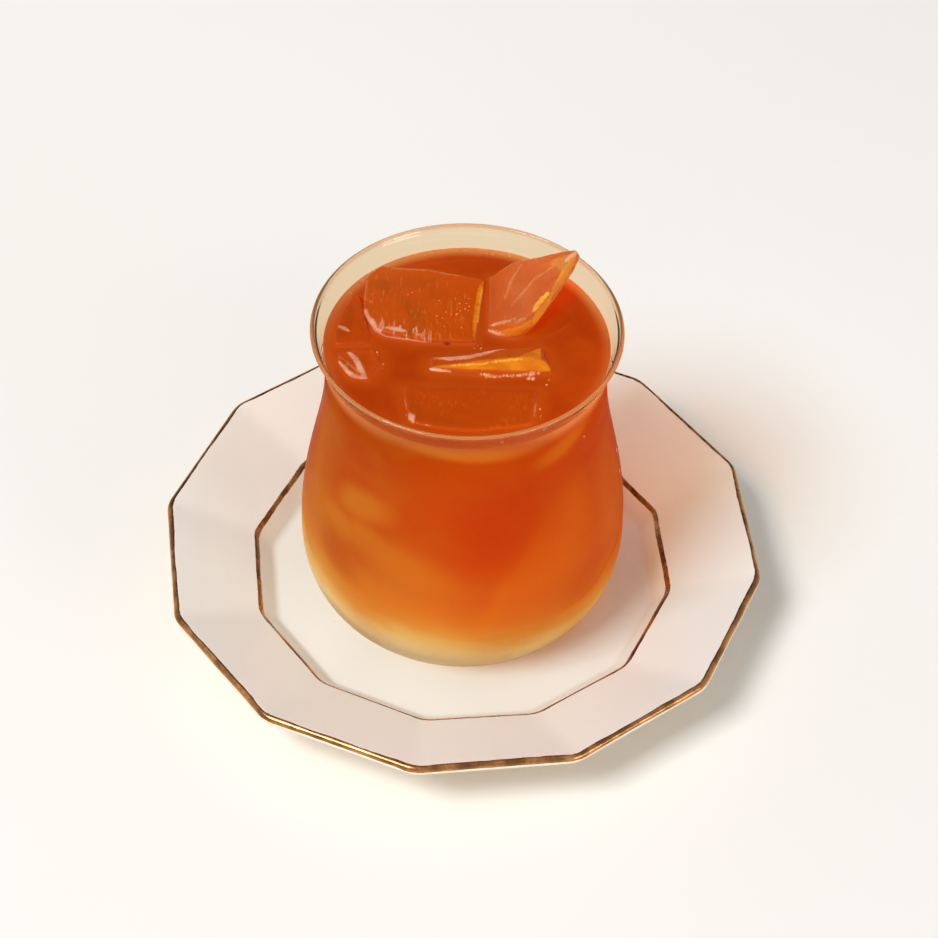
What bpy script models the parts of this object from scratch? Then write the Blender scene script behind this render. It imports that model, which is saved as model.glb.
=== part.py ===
"""A glass of iced tea in two layers, with ice standing out of it, on a twelve-sided saucer.

Metres, +Z up. The origin is on the table, under the middle of the saucer. The dimensions below are in
millimetres, as a maker would give them, and each function turns them into metres once.
"""

import math

import bmesh
import bpy
from mathutils import Vector

MM = 0.001
GAP = 0.3  # left between pieces that touch

# Saucer: a round foot and well, and a rim with twelve straight sides. Radii run to the corners.
SIDES = 12
RIM_RADIUS = 78.9
RIM_HEIGHT = 18.4
RIM_THICKNESS = 2.5
RIDGE_RADIUS = 55.5
RIDGE_HEIGHT = 9.35
WELL_RADIUS = 50.8
WELL_HEIGHT = 4.2
FOOT_OUTER = 43.0
FOOT_INNER = 40.2
FOOT_HEIGHT = 1.8
CORNER_RADIUS = 9.0
ROUND_UP_TO = 44.0
TWELVE_SIDED_FROM = 50.0
RIM_PHASE = math.radians(-7.4)
RIDGE_PHASE = math.radians(-8.6)
SAUCER_STEPS = 96
GATHER = 1.4  # above 1 draws the mesh's lines towards the corners, where the outline turns

# Glass: a bellied tumbler with a pulled-in neck and a flared lip
GLASS_BASE = WELL_HEIGHT + GAP
BASE_RADIUS = 29.0
BELLY_RADIUS = 41.8
BELLY_HEIGHT = 27.2
NECK_RADIUS = 35.2
NECK_HEIGHT = 79.0
LIP_RADIUS = 38.65
LIP_HEIGHT = 94.2
FLOOR_THICKNESS = 4.5
BELLY_WALL = 1.9
LIP_WALL = 1.1
GLASS_STEPS = 60

# Drink
TEA_LEVEL = 87.8
LAYER_LEVEL = 25.0
POCKET_GAP = 0.38  # a little more than the gap, as a corner moves out less than the faces beside it

# Ice
BOTTOM_SHARE = 0.8  # a lump's bottom is this much of its outline

MATERIALS = {
    "porcelain": {"colour": (0.84, 0.79, 0.73), "roughness": 0.16},
    "clear_glass": {"colour": (0.95, 0.93, 0.88), "roughness": 0.04, "transmission": 0.9},
    "amber_tea": {"colour": (0.60, 0.10, 0.008), "roughness": 0.08},
    "pale_layer": {"colour": (0.66, 0.44, 0.19), "roughness": 0.10},
    "ice": {"colour": (0.90, 0.55, 0.38), "roughness": 0.12, "transmission": 0.6},
}

# Each lump of ice: its top corners, going round, the height of its bottom, and how far its edges are worn.
# The wedge has a narrow top, so its outline at the waterline is given as its waist.
ICE_LUMPS = {
    "ice_block_back": {
        "top": [(-22.4, 25.6, 90.3), (-25.5, 21.8, 90.2), (-26.0, 10.0, 89.7), (-23.2, 4.4, 89.4),
                (-20.3, 2.4, 89.3), (-10.1, 0.5, 89.0), (1.9, 0.8, 88.5), (3.9, 23.2, 88.9),
                (-9.9, 25.5, 89.7)],
        "bottom_height": 70.0,
        "edge": 0.45,
    },
    "ice_wedge_middle": {
        "top": [(-8.1, -5.7, 88.4), (0.7, -5.0, 89.4), (9.7, -3.2, 89.8), (18.1, -1.6, 89.6),
                (19.8, -7.3, 89.0), (15.4, -6.6, 90.2), (3.2, -7.4, 89.8), (-7.1, -8.0, 88.6)],
        "waist": [(-9.2, -9.4, 87.6), (2.0, -10.3, 87.6), (13.0, -10.2, 87.6), (21.1, -8.8, 87.6),
                  (19.0, -0.4, 87.6), (-9.0, -4.6, 87.6)],
        "bottom_height": 75.0,
        "edge": 0.35,
    },
    "ice_block_front": {
        "top": [(-15.7, -15.1, 88.1), (-13.7, -27.6, 88.1), (-6.0, -29.8, 88.0), (2.4, -30.3, 88.0),
                (16.6, -27.6, 88.1), (18.2, -15.1, 88.2)],
        "bottom_height": 66.0,
        "edge": 0.8,
    },
    "ice_chip_left": {
        "top": [(-32.2, -4.6, 88.4), (-29.0, -3.9, 89.2), (-22.8, -2.9, 89.0), (-20.6, -7.1, 88.2),
                (-24.0, -13.4, 88.0), (-28.2, -12.4, 88.5), (-30.9, -8.2, 88.9)],
        "bottom_height": 76.0,
        "edge": 0.6,
    },
    "ice_block_left": {
        "top": [(-30.9, 11.0, 89.3), (-28.4, 16.0, 89.5), (-27.1, 15.6, 89.5), (-27.1, 8.6, 89.2),
                (-24.1, 2.6, 88.6), (-24.3, -0.9, 88.2), (-32.5, -1.4, 88.2), (-32.8, 3.1, 88.7)],
        "bottom_height": 77.0,
        "edge": 0.5,
    },
}

# The shard leans out of the tea: a plate whose upper face rises from the waterline to a tip above the lip
SHARD_FACE = [(4.7, 24.6, 87.8), (11.3, 27.1, 91.6), (17.5, 25.1, 95.0), (26.4, 22.9, 100.0),
              (24.8, 18.8, 98.9), (19.3, 11.0, 95.8), (14.0, 5.2, 92.8), (5.9, 6.9, 88.4)]
# Where the shard's front meets the waterline
SHARD_FOOT = [(4.9, 5.4, 87.9), (7.2, 3.6, 87.6), (10.8, 2.8, 87.5), (13.6, 3.9, 87.6)]
SHARD_DOWNWARDS = Vector((0.479, 0.008, -0.878))
SHARD_THICKNESS_LOW = 5.4
SHARD_THICKNESS_TIP = 2.4
SHARD_EDGE = 0.35


def clear_scene():
    for item in list(bpy.data.objects):
        bpy.data.objects.remove(item, do_unlink=True)


def collection(name):
    group = bpy.data.collections.new(name)
    bpy.context.scene.collection.children.link(group)
    return group


def material(name):
    values = MATERIALS[name]
    result = bpy.data.materials.new(name)
    result.use_nodes = True
    shader = result.node_tree.nodes["Principled BSDF"]
    shader.inputs["Base Color"].default_value = (*values["colour"], 1.0)
    shader.inputs["Roughness"].default_value = values["roughness"]
    shader.inputs["Metallic"].default_value = 0.0
    shader.inputs["Transmission Weight"].default_value = values.get("transmission", 0.0)
    return result


def add_object(name, mesh, group, finish=None):
    item = bpy.data.objects.new(name, mesh)
    group.objects.link(item)
    if finish:
        mesh.materials.clear()
        mesh.materials.append(finish)
    return item


def fillet(before, corner, after, radius, segments):
    """The arc that rounds a corner of a section, as segments + 1 points."""
    corner = Vector(corner)
    to_before = (Vector(before) - corner).normalized()
    to_after = (Vector(after) - corner).normalized()
    half = to_before.angle(to_after) / 2
    start = corner + to_before * radius / math.tan(half)
    end = corner + to_after * radius / math.tan(half)
    centre = corner + (to_before + to_after).normalized() * radius / math.sin(half)
    points = []
    for step in range(segments + 1):
        direction = (start - centre).lerp(end - centre, step / segments).normalized()
        points.append(tuple(centre + direction * radius))
    return points


def bezier(start, handle_1, handle_2, end, segments):
    """The points of a cubic curve after its start."""
    points = []
    for step in range(1, segments + 1):
        t = step / segments
        weights = ((1 - t) ** 3, 3 * t * (1 - t) ** 2, 3 * t * t * (1 - t), t ** 3)
        corners = (start, handle_1, handle_2, end)
        points.append(tuple(sum(w * c[axis] for w, c in zip(weights, corners)) for axis in (0, 1)))
    return points


def turned(name, section, steps, group, finish):
    """A section (radius, height in mm) turned about Z, as a closed solid."""
    mesh = bpy.data.meshes.new(name)
    points = [(radius * MM, 0.0, height * MM) for radius, height in section]
    mesh.from_pydata(points, [(i, i + 1) for i in range(len(points) - 1)], [])
    item = add_object(name, mesh, group, finish)
    screw = item.modifiers.new("Turn", "SCREW")
    screw.axis = "Z"
    screw.angle = math.tau
    screw.steps = steps
    screw.render_steps = steps
    screw.use_merge_vertices = True
    screw.merge_threshold = 0.00001
    screw.use_smooth_shade = True
    return item


def apply_modifiers(item):
    """The item's evaluated mesh, which becomes its own."""
    graph = bpy.context.evaluated_depsgraph_get()
    mesh = bpy.data.meshes.new_from_object(item.evaluated_get(graph))
    item.modifiers.clear()
    item.data = mesh
    return mesh


def smooth(item, angle=32):
    item.data.shade_smooth()
    item.data.set_sharp_from_angle(angle=math.radians(angle))


def twelve_sided_radius(from_corner, radius):
    """How far out the outline lies at an angle from its nearest corner; radius runs to the sharp corner."""
    half_side = math.pi / SIDES
    apothem = radius * math.cos(half_side)
    arc_centre = (apothem - CORNER_RADIUS) / math.cos(half_side)
    tangent = math.atan2(CORNER_RADIUS * math.sin(half_side),
                         arc_centre + CORNER_RADIUS * math.cos(half_side))
    if abs(from_corner) > tangent:
        return apothem / math.cos(half_side - abs(from_corner))
    across = arc_centre * math.sin(from_corner)
    return arc_centre * math.cos(from_corner) + math.sqrt(CORNER_RADIUS ** 2 - across ** 2)


def smoothstep(value, low, high):
    t = min(max((value - low) / (high - low), 0.0), 1.0)
    return t * t * (3 - 2 * t)


def push_to_twelve_sides(mesh):
    """Turns the round blank's rim into twelve straight sides with rounded corners."""
    side = math.tau / SIDES
    for vertex in mesh.vertices:
        x, y, z = vertex.co
        radius = math.hypot(x, y)
        share = smoothstep(radius, ROUND_UP_TO * MM, TWELVE_SIDED_FROM * MM)
        angle = math.atan2(y, x)
        corner = round(angle / side) * side
        offset = angle - corner
        gathered = math.copysign((abs(offset) / (side / 2)) ** GATHER * side / 2, offset)
        offset += (gathered - offset) * share
        straight = twelve_sided_radius(offset, radius / MM) * MM
        new_radius = radius + (straight - radius) * share
        out = min(max((radius / MM - RIDGE_RADIUS) / (RIM_RADIUS - RIDGE_RADIUS), 0.0), 1.0)
        phase = RIDGE_PHASE + (RIM_PHASE - RIDGE_PHASE) * out
        vertex.co = (new_radius * math.cos(corner + offset + phase),
                     new_radius * math.sin(corner + offset + phase), z)


def saucer_section():
    """Well, step, sloping rim and rounded edge, then the underside and the foot ring."""
    well = (WELL_RADIUS, WELL_HEIGHT)
    ridge = (RIDGE_RADIUS, RIDGE_HEIGHT)
    edge_top = (RIM_RADIUS - 0.5, RIM_HEIGHT)
    edge_low = (RIM_RADIUS + 0.3, RIM_HEIGHT - RIM_THICKNESS)
    under_ridge = (RIDGE_RADIUS + 2.9, RIDGE_HEIGHT - 1.7)
    under_step = (WELL_RADIUS + 1.5, FOOT_HEIGHT + 0.2)
    foot_side = (FOOT_OUTER + 0.6, FOOT_HEIGHT + 0.2)
    foot_edge = (FOOT_OUTER, 0.0)
    foot_inner_edge = (FOOT_INNER, 0.0)
    foot_inner_side = (FOOT_INNER - 0.6, FOOT_HEIGHT)
    section = [(0.0, WELL_HEIGHT), (ROUND_UP_TO, WELL_HEIGHT)]
    section += fillet(section[-1], well, ridge, 3.0, 3)
    section += fillet(well, ridge, edge_top, 1.8, 3)
    section += fillet(ridge, edge_top, edge_low, 1.1, 3)
    section += fillet(edge_top, edge_low, under_ridge, 0.9, 2)
    section += fillet(edge_low, under_ridge, under_step, 4.0, 2)
    section += fillet(under_ridge, under_step, foot_side, 3.0, 2)
    section += [foot_side]
    section += fillet(foot_side, foot_edge, foot_inner_edge, 0.6, 1)
    section += fillet(foot_edge, foot_inner_edge, foot_inner_side, 0.6, 1)
    section += [foot_inner_side, (0.0, FOOT_HEIGHT)]
    return section


def make_saucer(group):
    saucer = turned("saucer", saucer_section(), SAUCER_STEPS, group, material("porcelain"))
    push_to_twelve_sides(apply_modifiers(saucer))
    smooth(saucer)
    return saucer


def bowl_curve(base_radius, floor, belly_radius, segments):
    """From the flat of a floor out and up to the belly, (radius, height)."""
    points = []
    for step in range(segments + 1):
        turn = math.pi / 2 * step / segments
        out = math.sin(turn) ** 1.13
        up = 1 - max(math.cos(turn), 0.0) ** 0.9
        points.append((base_radius + (belly_radius - base_radius) * out, floor + (BELLY_HEIGHT - floor) * up))
    return points


def upper_wall(segments_body, segments_flare):
    """The outside from the belly to the lip, after the belly itself, (radius, height)."""
    rise = NECK_HEIGHT - BELLY_HEIGHT
    flare = LIP_HEIGHT - NECK_HEIGHT
    spread = LIP_RADIUS - NECK_RADIUS
    body = bezier((BELLY_RADIUS, BELLY_HEIGHT), (BELLY_RADIUS, BELLY_HEIGHT + 0.43 * rise),
                  (NECK_RADIUS, NECK_HEIGHT - 0.34 * rise), (NECK_RADIUS, NECK_HEIGHT), segments_body)
    lip = bezier((NECK_RADIUS, NECK_HEIGHT), (NECK_RADIUS, NECK_HEIGHT + 0.47 * flare),
                 (LIP_RADIUS - 0.45 * spread, LIP_HEIGHT - 0.3 * flare), (LIP_RADIUS, LIP_HEIGHT),
                 segments_flare)
    return body + lip


def wall_thickness(height):
    share = (height - BELLY_HEIGHT) / (LIP_HEIGHT - BELLY_HEIGHT)
    return BELLY_WALL + (LIP_WALL - BELLY_WALL) * share


def inside_curve(gap, segments_floor, segments_body, segments_flare):
    """The inside from the floor's flat up to the lip, moved inwards by a gap, (radius, height)."""
    points = bowl_curve(BASE_RADIUS - BELLY_WALL, GLASS_BASE + FLOOR_THICKNESS + gap,
                        BELLY_RADIUS - BELLY_WALL - gap, segments_floor)
    for radius, height in upper_wall(segments_body, segments_flare):
        points.append((radius - wall_thickness(height) - gap, height))
    return points


def make_glass(group):
    inside = inside_curve(0.0, 8, 7, 5)
    outside = bowl_curve(BASE_RADIUS, GLASS_BASE, BELLY_RADIUS, 9) + upper_wall(7, 5)
    round_radius = LIP_WALL / 2
    lip = []
    for turn in (180, 135, 90, 45, 0):
        angle = math.radians(turn)
        lip.append((LIP_RADIUS - round_radius + round_radius * math.cos(angle),
                    LIP_HEIGHT - round_radius + round_radius * math.sin(angle)))
    section = [(0.0, inside[0][1])] + inside[:-1] + lip + outside[-2::-1] + [(0.0, GLASS_BASE)]
    glass = turned("glass", section, GLASS_STEPS, group, material("clear_glass"))
    apply_modifiers(glass)
    smooth(glass)
    return glass


def liquid_section(low, high):
    """A layer of the drink between two heights; low None is the floor of the glass."""
    curve = inside_curve(GAP, 8, 7, 5)
    floor = curve[0][1]
    low = floor if low is None else low

    def radius_at(height):
        for (r1, h1), (r2, h2) in zip(curve, curve[1:]):
            if h1 <= height <= h2:
                return r1 + (r2 - r1) * (height - h1) / (h2 - h1)
        return curve[0][0]

    side = [(r, h) for r, h in curve if low + 0.4 < h < high - 0.4]
    side = [(radius_at(low), low)] + side + [(radius_at(high), high)]
    return [(0.0, high)] + side[::-1] + [(0.0, low)]


def hull_lump(name, corners, edge, group, finish):
    """A lump of ice: the hull of its corners, with worn edges."""
    bm = bmesh.new()
    for corner in corners:
        bm.verts.new(Vector(corner) * MM)
    result = bmesh.ops.convex_hull(bm, input=bm.verts)
    spare = [item for item in result["geom_interior"] if isinstance(item, bmesh.types.BMVert)]
    bmesh.ops.delete(bm, geom=spare, context="VERTS")
    bmesh.ops.dissolve_limit(bm, angle_limit=math.radians(4), verts=bm.verts, edges=bm.edges)
    bmesh.ops.bevel(bm, geom=bm.edges[:], offset=edge * MM, offset_type="OFFSET", segments=1,
                    profile=0.5, affect="EDGES", material=-1, clamp_overlap=True)
    bmesh.ops.remove_doubles(bm, verts=bm.verts, dist=0.00001)
    bmesh.ops.triangulate(bm, faces=bm.faces)
    bmesh.ops.recalc_face_normals(bm, faces=bm.faces)
    mesh = bpy.data.meshes.new(name)
    bm.to_mesh(mesh)
    bm.free()
    item = add_object(name, mesh, group, finish)
    smooth(item, 25)
    return item


def lump_corners(lump):
    """Corners at the top, round the waterline where they are given, and round the smaller bottom."""
    rim = lump.get("waist", lump["top"])
    centre_x = sum(corner[0] for corner in rim) / len(rim)
    centre_y = sum(corner[1] for corner in rim) / len(rim)
    bottom = []
    for x, y, _ in rim:
        bottom.append((centre_x + (x - centre_x) * BOTTOM_SHARE, centre_y + (y - centre_y) * BOTTOM_SHARE,
                       lump["bottom_height"]))
    return lump["top"] + lump.get("waist", []) + bottom


def shard_corners():
    low = min(corner[2] for corner in SHARD_FACE)
    high = max(corner[2] for corner in SHARD_FACE)
    under = []
    for corner in SHARD_FACE:
        share = (corner[2] - low) / (high - low)
        thickness = SHARD_THICKNESS_LOW + (SHARD_THICKNESS_TIP - SHARD_THICKNESS_LOW) * share
        under.append(tuple(Vector(corner) + SHARD_DOWNWARDS * thickness))
    return SHARD_FACE + under + SHARD_FOOT


def make_ice(group):
    finish = material("ice")
    lumps = []
    for name, lump in ICE_LUMPS.items():
        lumps.append(hull_lump(name, lump_corners(lump), lump["edge"], group, finish))
    lumps.append(hull_lump("ice_shard", shard_corners(), SHARD_EDGE, group, finish))
    return lumps


def make_pockets(lumps, group):
    """Cutters: each lump of ice grown by the gap, so that the tea stands clear of it."""
    for lump in lumps:
        mesh = lump.data.copy()
        moved = [vertex.co + vertex.normal * POCKET_GAP * MM for vertex in mesh.vertices]
        for vertex, place in zip(mesh.vertices, moved):
            vertex.co = place
        pocket = add_object(lump.name + "_pocket", mesh, group)
        pocket.display_type = "WIRE"
        pocket.hide_render = True


def make_drink(group, cutters):
    lower = liquid_section(None, LAYER_LEVEL)
    upper = liquid_section(LAYER_LEVEL + GAP, TEA_LEVEL)
    turned("pale_layer", lower, GLASS_STEPS, group, material("pale_layer"))
    tea = turned("tea", upper, GLASS_STEPS, group, material("amber_tea"))
    cut = tea.modifiers.new("Pockets for the ice", "BOOLEAN")
    cut.operation = "DIFFERENCE"
    cut.operand_type = "COLLECTION"
    cut.collection = cutters
    cut.solver = "EXACT"


def main():
    clear_scene()
    parts = collection("glass_of_iced_tea")
    cutters = collection("cutters")
    make_saucer(parts)
    make_glass(parts)
    lumps = make_ice(parts)
    make_pockets(lumps, cutters)
    make_drink(parts, cutters)


main()
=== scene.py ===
import math
import random

import bmesh
import bpy
from mathutils import Matrix, Vector, noise


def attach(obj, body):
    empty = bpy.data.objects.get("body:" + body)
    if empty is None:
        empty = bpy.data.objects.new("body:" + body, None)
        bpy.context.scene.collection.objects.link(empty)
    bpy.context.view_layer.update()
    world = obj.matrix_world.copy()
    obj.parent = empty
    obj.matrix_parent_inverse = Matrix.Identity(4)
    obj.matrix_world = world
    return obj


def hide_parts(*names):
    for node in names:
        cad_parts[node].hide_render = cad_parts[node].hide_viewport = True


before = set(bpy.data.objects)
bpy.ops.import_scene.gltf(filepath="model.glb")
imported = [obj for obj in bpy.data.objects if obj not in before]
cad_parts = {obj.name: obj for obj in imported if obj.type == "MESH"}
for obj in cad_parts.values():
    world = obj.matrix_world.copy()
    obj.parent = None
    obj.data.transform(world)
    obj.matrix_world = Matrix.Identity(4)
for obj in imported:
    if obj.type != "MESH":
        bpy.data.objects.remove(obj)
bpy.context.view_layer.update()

MM = 0.001
SECTORS = 8  # a turned piece is spun through one sector, which is then repeated

# Camera: where the photograph was taken from, in metres
CAMERA_PLACE = Vector((0.001398, -0.570265, 0.629503))
CAMERA_FORWARD = Vector((0.0, 0.697855, -0.716239))
CAMERA_ROLL = math.radians(1.651)
CAMERA_LENS = 122.21

# Saucer, in mm: a round foot and well, and a rim with twelve straight sides. Radii run to the corners.
SIDES = 12
RIM_RADIUS = 78.9
RIM_HEIGHT = 18.4
RIM_THICKNESS = 2.5
RIDGE_RADIUS = 55.5
RIDGE_HEIGHT = 9.35
WELL_RADIUS = 50.8
WELL_HEIGHT = 4.2
FOOT_OUTER = 43.0
FOOT_INNER = 40.2
FOOT_HEIGHT = 1.8
CORNER_RADIUS = 9.0
ROUND_UP_TO = 44.0
TWELVE_SIDED_FROM = 50.0
RIM_PHASE = math.radians(-7.4)
RIDGE_PHASE = math.radians(-8.6)
SAUCER_STEPS = 288
GATHER = 1.4

# Glass, in mm
GLASS_BASE = 4.5
BASE_RADIUS = 29.0
BELLY_RADIUS = 41.8
BELLY_HEIGHT = 27.2
NECK_RADIUS = 35.2
NECK_HEIGHT = 79.0
LIP_RADIUS = 38.65
LIP_HEIGHT = 94.2
FLOOR_THICKNESS = 4.5
BELLY_WALL = 1.9
LIP_WALL = 1.1
GLASS_STEPS = 256

# Drink, in mm
TEA_LEVEL = 87.8
LAYER_LEVEL = 25.0
INTO_THE_WALL = 0.30
MENISCUS_RISE = 0.5
MENISCUS_REACH = 0.9

# Colours, linear
PORCELAIN = (0.86, 0.85, 0.82)
FLOOR_COLOUR = (0.93, 0.925, 0.915)
TABLE_COLOUR = (0.86, 0.71, 0.50)


def mixed(a, b, share):
    return a + (b - a) * share


def smoothstep(value, low, high):
    t = min(max((value - low) / (high - low), 0.0), 1.0)
    return t * t * (3 - 2 * t)


# ---- Meshes ----

def add_piece(name, bm, finish, body="root", smooth_angle=40):
    """Finishes a bmesh as a piece that rides on a body."""
    bmesh.ops.recalc_face_normals(bm, faces=bm.faces)
    mesh = bpy.data.meshes.new(name)
    bm.to_mesh(mesh)
    bm.free()
    mesh.materials.append(finish)
    mesh.shade_smooth()
    mesh.set_sharp_from_angle(angle=math.radians(smooth_angle))
    piece = bpy.data.objects.new(name, mesh)
    bpy.context.scene.collection.objects.link(piece)
    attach(piece, body)
    return piece


def turn_edges(bm, geometry, steps):
    """Turns edges about Z through one sector, and repeats the sector all the way round."""
    bmesh.ops.spin(bm, geom=geometry, cent=(0, 0, 0), axis=(0, 0, 1), angle=math.tau / SECTORS,
                   steps=steps // SECTORS)
    sector = bm.verts[:] + bm.edges[:] + bm.faces[:]
    for number in range(1, SECTORS):
        copy = bmesh.ops.duplicate(bm, geom=sector)["geom"]
        verts = [item for item in copy if isinstance(item, bmesh.types.BMVert)]
        bmesh.ops.rotate(bm, verts=verts, cent=(0, 0, 0),
                         matrix=Matrix.Rotation(math.tau * number / SECTORS, 3, "Z"))
    bmesh.ops.remove_doubles(bm, verts=bm.verts, dist=0.000002)


def turn(bm, section, steps):
    """Turns a section (radius, height in mm) about Z, all the way round."""
    verts = [bm.verts.new((radius * MM, 0.0, height * MM)) for radius, height in section]
    edges = [bm.edges.new(pair) for pair in zip(verts, verts[1:])]
    turn_edges(bm, verts + edges, steps)


def fillet(before, corner, after, radius, segments):
    """The arc that rounds a corner of a section, as segments + 1 points."""
    corner = Vector(corner)
    to_before = (Vector(before) - corner).normalized()
    to_after = (Vector(after) - corner).normalized()
    half = to_before.angle(to_after) / 2
    start = corner + to_before * radius / math.tan(half)
    end = corner + to_after * radius / math.tan(half)
    centre = corner + (to_before + to_after).normalized() * radius / math.sin(half)
    points = []
    for step in range(segments + 1):
        direction = (start - centre).lerp(end - centre, step / segments).normalized()
        points.append(tuple(centre + direction * radius))
    return points


def bezier(start, handle_1, handle_2, end, segments):
    """The points of a cubic curve after its start."""
    points = []
    for step in range(1, segments + 1):
        t = step / segments
        weights = ((1 - t) ** 3, 3 * t * (1 - t) ** 2, 3 * t * t * (1 - t), t ** 3)
        corners = (start, handle_1, handle_2, end)
        points.append(tuple(sum(w * c[axis] for w, c in zip(weights, corners)) for axis in (0, 1)))
    return points


def divided(points, longest):
    """The same line with no stretch longer than the given length."""
    result = [points[0]]
    for before, after in zip(points, points[1:]):
        count = max(1, math.ceil(math.dist(before, after) / longest))
        for step in range(1, count + 1):
            result.append(tuple(mixed(before[axis], after[axis], step / count) for axis in (0, 1)))
    return result


# ---- Materials ----

class Finish:
    """A material in the making, with short ways to add its nodes."""

    def __init__(self, name):
        self.material = bpy.data.materials.new(name)
        self.material.use_nodes = True
        tree = self.material.node_tree
        self.nodes = tree.nodes
        self.links = tree.links
        self.shader = tree.nodes["Principled BSDF"]
        self.surface = self.shader.outputs[0]
        self.output = tree.nodes["Material Output"]
        self.place = tree.nodes.new("ShaderNodeTexCoord").outputs["Object"]

    def values(self, **values):
        """Sets sockets of the shader, such as Roughness or Coat_Weight."""
        for name, value in values.items():
            self.shader.inputs[name.replace("_", " ")].default_value = value

    def join(self, source, target):
        self.links.new(source, target)

    def feed(self, socket, source):
        self.links.new(source, self.shader.inputs[socket])

    def mapped(self, stretch=(1, 1, 1), turned=(0, 0, 0), moved=(0, 0, 0)):
        node = self.nodes.new("ShaderNodeMapping")
        node.vector_type = "TEXTURE"
        node.inputs["Location"].default_value = moved
        node.inputs["Rotation"].default_value = turned
        node.inputs["Scale"].default_value = stretch
        self.join(self.place, node.inputs["Vector"])
        return node.outputs["Vector"]

    def noise(self, size, detail=2.0, stretch=(1, 1, 1), turned=(0, 0, 0), distortion=0.0):
        """Cloudy noise; size is the width of a cloud in mm."""
        node = self.nodes.new("ShaderNodeTexNoise")
        node.inputs["Scale"].default_value = 1 / (size * MM)
        node.inputs["Detail"].default_value = detail
        node.inputs["Distortion"].default_value = distortion
        self.join(self.mapped(stretch, turned), node.inputs["Vector"])
        return node.outputs["Fac"]

    def cells(self, size, stretch=(1, 1, 1)):
        node = self.nodes.new("ShaderNodeTexVoronoi")
        node.inputs["Scale"].default_value = 1 / (size * MM)
        self.join(self.mapped(stretch), node.inputs["Vector"])
        return node.outputs["Distance"]

    def painted(self, name):
        """A value from 0 to 1 that the piece carries at each point."""
        node = self.nodes.new("ShaderNodeAttribute")
        node.attribute_name = name
        return node.outputs["Fac"]

    def split(self):
        node = self.nodes.new("ShaderNodeSeparateXYZ")
        self.join(self.place, node.inputs["Vector"])
        return node.outputs["X"], node.outputs["Y"], node.outputs["Z"]

    def math(self, operation, first, second=None, clamp=False):
        node = self.nodes.new("ShaderNodeMath")
        node.operation = operation
        node.use_clamp = clamp
        for socket, value in zip(node.inputs, (first, second)):
            if value is None:
                continue
            if isinstance(value, (int, float)):
                socket.default_value = value
            else:
                self.join(value, socket)
        return node.outputs["Value"]

    def range(self, value, low, high, to_low=0.0, to_high=1.0):
        """Maps low..high of a value to to_low..to_high, smoothly."""
        node = self.nodes.new("ShaderNodeMapRange")
        node.interpolation_type = "SMOOTHSTEP"
        node.inputs["From Min"].default_value = low
        node.inputs["From Max"].default_value = high
        node.inputs["To Min"].default_value = to_low
        node.inputs["To Max"].default_value = to_high
        self.join(value, node.inputs["Value"])
        return node.outputs["Result"]

    def ramp(self, factor, stops, interpolation="LINEAR"):
        """A colour for each place of a value: stops are (place, colour)."""
        node = self.nodes.new("ShaderNodeValToRGB")
        ramp = node.color_ramp
        ramp.interpolation = interpolation
        while len(ramp.elements) < len(stops):
            ramp.elements.new(1.0)
        for element, (place, colour) in zip(ramp.elements, stops):
            element.position = place
            element.color = (*colour, 1.0)
        self.join(factor, node.inputs["Fac"])
        return node.outputs["Color"]

    def blend(self, share, first, second):
        """A colour between two; each is a colour or a socket."""
        node = self.nodes.new("ShaderNodeMix")
        node.data_type = "RGBA"
        factor, a, b = node.inputs[0], node.inputs[6], node.inputs[7]
        for socket, value in ((factor, share), (a, first), (b, second)):
            if isinstance(value, (int, float)):
                socket.default_value = value
            elif isinstance(value, tuple):
                socket.default_value = (*value, 1.0)
            else:
                self.join(value, socket)
        return node.outputs[2]

    def tinted(self, colour, tint):
        """One colour times another."""
        node = self.nodes.new("ShaderNodeMix")
        node.data_type = "RGBA"
        node.blend_type = "MULTIPLY"
        node.inputs[0].default_value = 1.0
        self.join(colour, node.inputs[6])
        self.join(tint, node.inputs[7])
        return node.outputs[2]

    def bump(self, height, depth, strength=1.0, after=None):
        """Small relief of a given depth in mm."""
        node = self.nodes.new("ShaderNodeBump")
        node.inputs["Distance"].default_value = depth * MM
        node.inputs["Strength"].default_value = strength
        self.join(height, node.inputs["Height"])
        if after:
            self.join(after, node.inputs["Normal"])
        self.feed("Normal", node.outputs["Normal"])
        return node.outputs["Normal"]

    def thin_out_reflections(self, share, ior):
        """Turns a share of the glass's outer faces into glass that only refracts, as under a fine mist."""
        inside = self.nodes.new("ShaderNodeNewGeometry").outputs["Backfacing"]
        share = self.math("MULTIPLY", share, self.math("SUBTRACT", 1.0, inside))
        only = self.nodes.new("ShaderNodeBsdfRefraction")
        only.inputs["IOR"].default_value = ior
        only.inputs["Roughness"].default_value = 0.0
        only.inputs["Color"].default_value = (0.98, 0.97, 0.95, 1.0)
        both = self.nodes.new("ShaderNodeMixShader")
        self.join(share, both.inputs[0])
        self.join(self.surface, both.inputs[1])
        self.join(only.outputs[0], both.inputs[2])
        self.surface = both.outputs[0]
        self.join(self.surface, self.output.inputs["Surface"])

    def light_passes(self, tint):
        """Lets lamps shine through the piece, in a tint: shadow rays see clear glass."""
        clear = self.nodes.new("ShaderNodeBsdfTransparent")
        if isinstance(tint, tuple):
            clear.inputs["Color"].default_value = (*tint, 1.0)
        else:
            self.join(tint, clear.inputs["Color"])
        rays = self.nodes.new("ShaderNodeLightPath")
        choose = self.nodes.new("ShaderNodeMixShader")
        self.join(rays.outputs["Is Shadow Ray"], choose.inputs[0])
        self.join(self.surface, choose.inputs[1])
        self.join(clear.outputs[0], choose.inputs[2])
        self.join(choose.outputs[0], self.output.inputs["Surface"])


# ---- Saucer ----

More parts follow.
